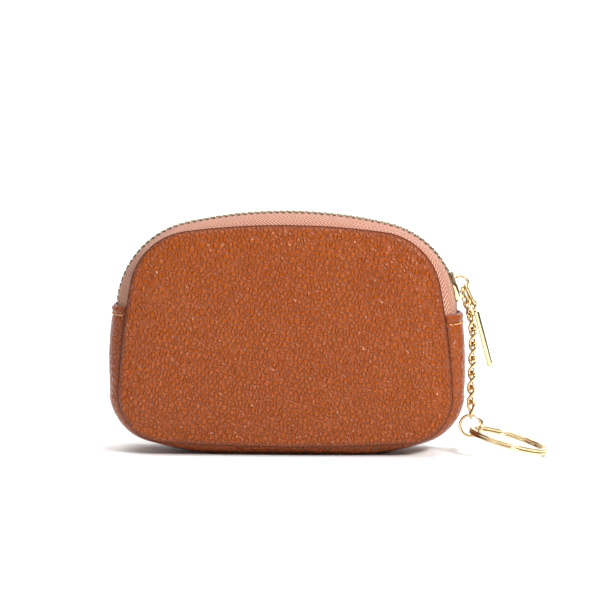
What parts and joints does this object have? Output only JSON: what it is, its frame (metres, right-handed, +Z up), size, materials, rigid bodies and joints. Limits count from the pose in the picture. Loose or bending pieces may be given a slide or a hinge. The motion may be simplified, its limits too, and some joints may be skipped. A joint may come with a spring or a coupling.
{
  "type": "zippered coin pouch",
  "caption": "Small soft leather pouch with an arched zip, a side strip that ends in folded hems, a hanging pull bar, and a short chain with a split key ring.",
  "frame": {"origin": "on the surface it stands on, under the middle of the pouch body, on the middle plane between the two panels", "axes": "+Z up, +X toward the closed end of the zip and the chain, -Y toward the front panel"},
  "size_m": [0.1493, 0.0351, 0.0823],
  "materials": {
    "leather": "pebbled caramel tan grain leather, semi-matt",
    "foam": "open-cell polyurethane foam padding",
    "lining": "brown woven polyester lining",
    "thread": "light orange-tan bonded thread",
    "zip_tape": "dusty pink-brown herringbone twill tape",
    "zip_metal": "stamped brass teeth, slightly dull",
    "gold_metal": "polished light gold plating on zinc alloy and steel wire"
  },
  "bodies": {
    "pouch": {"front_panel": "leather", "back_panel": "leather", "side_strip": "leather", "front_foam": "foam", "back_foam": "foam", "front_lining": "lining", "back_lining": "lining", "strip_lining": "lining", "front_seam_thread": "thread", "back_seam_thread": "thread", "hem_stitches": "thread", "front_tape": "zip_tape", "back_tape": "zip_tape", "front_teeth": "zip_metal", "back_teeth": "zip_metal", "top_stops": "zip_metal", "bottom_stop": "zip_metal"},
    "slider": {"slider_body": "gold_metal", "slider_bail": "gold_metal"},
    "pull_link": {"pull_link": "gold_metal"},
    "pull_bar": {"pull_bar": "gold_metal"},
    "chain_1": {"chain_link_1": "gold_metal"},
    "chain_2": {"chain_link_2": "gold_metal"},
    "chain_3": {"chain_link_3": "gold_metal"},
    "chain_4": {"chain_link_4": "gold_metal"},
    "chain_5": {"chain_link_5": "gold_metal"},
    "chain_6": {"chain_link_6": "gold_metal"},
    "chain_7": {"chain_link_7": "gold_metal"},
    "chain_8": {"chain_link_8": "gold_metal"},
    "chain_9": {"chain_link_9": "gold_metal"},
    "jump_ring": {"jump_ring": "gold_metal"},
    "key_ring": {"key_ring": "gold_metal"}
  },
  "joints": [
    {"name": "zip_travel", "type": "hinge", "parent": "pouch", "child": "slider", "pos_m": [0.0275, 0, 0.04842], "axis": [0, -1, 0], "range_deg": [0, 52], "deforming": ["front_teeth", "back_teeth"]},
    {"name": "pull_link_swing", "type": "hinge", "parent": "slider", "child": "pull_link", "pos_m": [0.06021, 0, 0.05726], "axis": [0.2079, -0.9781, 0], "range_deg": [-3, 100]},
    {"name": "pull_bar_swing", "type": "hinge", "parent": "pull_link", "child": "pull_bar", "pos_m": [0.06298, 0.00059, 0.05119], "axis": [0.2079, -0.9781, 0], "range_deg": [-3, 95]},
    {"name": "chain_1_swing", "type": "hinge", "parent": "slider", "child": "chain_1", "pos_m": [0.0596, 0, 0.05522], "axis": [0.9397, 0, 0.342], "range_deg": [-35, 2]},
    {"name": "chain_2_swing", "type": "hinge", "parent": "chain_1", "child": "chain_2", "pos_m": [0.06103, -0.00261, 0.0513], "axis": [-0.1812, -0.848, 0.498], "range_deg": [0, 40]},
    {"name": "chain_3_swing", "type": "hinge", "parent": "chain_2", "child": "chain_3", "pos_m": [0.06228, -0.00445, 0.04692], "axis": [-0.9613, 0, -0.2756], "range_deg": [-18, 25]},
    {"name": "chain_4_swing", "type": "hinge", "parent": "chain_3", "child": "chain_4", "pos_m": [0.06296, -0.00513, 0.04209], "axis": [-0.0194, -0.9903, 0.1378], "range_deg": [0, 40]},
    {"name": "chain_5_swing", "type": "hinge", "parent": "chain_4", "child": "chain_5", "pos_m": [0.06296, -0.00531, 0.03717], "axis": [1, 0, 0], "range_deg": [-30, 30]},
    {"name": "chain_6_swing", "type": "hinge", "parent": "chain_5", "child": "chain_6", "pos_m": [0.06288, -0.00531, 0.03225], "axis": [0, -1, 0], "range_deg": [0, 40]},
    {"name": "chain_7_swing", "type": "hinge", "parent": "chain_6", "child": "chain_7", "pos_m": [0.0627, -0.00531, 0.02734], "axis": [-0.9994, 0, 0.0349], "range_deg": [-20, 35]},
    {"name": "chain_8_swing", "type": "hinge", "parent": "chain_7", "child": "chain_8", "pos_m": [0.06253, -0.00531, 0.02242], "axis": [0, -1, 0], "range_deg": [0, 40]},
    {"name": "chain_9_swing", "type": "hinge", "parent": "chain_8", "child": "chain_9", "pos_m": [0.06245, -0.00531, 0.0175], "axis": [0.9998, 0, -0.0175], "range_deg": [-35, 35]},
    {"name": "jump_ring_swing", "type": "hinge", "parent": "chain_9", "child": "jump_ring", "pos_m": [0.06245, -0.00531, 0.01258], "axis": [0, -1, 0], "range_deg": [-10, 60]},
    {"name": "key_ring_swing", "type": "hinge", "parent": "jump_ring", "child": "key_ring", "pos_m": [0.06265, -0.00531, 0.00868], "axis": [0, -1, 0], "range_deg": [-74, 75]}
  ]
}
